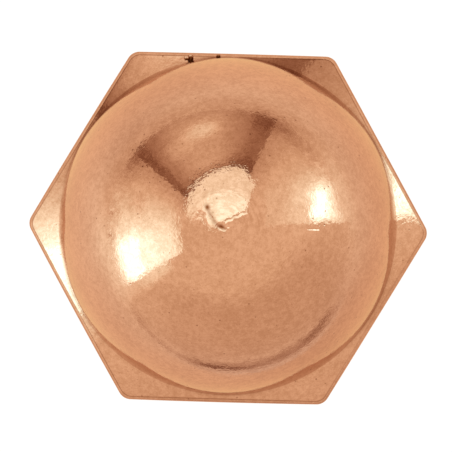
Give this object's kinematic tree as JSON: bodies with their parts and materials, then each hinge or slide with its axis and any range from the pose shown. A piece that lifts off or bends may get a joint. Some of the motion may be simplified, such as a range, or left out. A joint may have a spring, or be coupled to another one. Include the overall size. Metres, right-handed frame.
{
  "type": "cap nut",
  "caption": "Hexagonal cap nut with a slightly pointed dome over a blind tapped hole. It covers and protects the end of a bolt or stud.",
  "frame": {"origin": "centre of the bearing face, on the thread axis", "axes": "+Z along the thread axis, from the bearing face up through the dome; two corners of the hexagon point along X and two flats face along Y"},
  "size_m": [0.0216, 0.0189, 0.0206],
  "materials": {
    "copper_metal": "gloss"
  },
  "bodies": {
    "root": {"cap_nut": "copper_metal"}
  },
  "joints": []
}
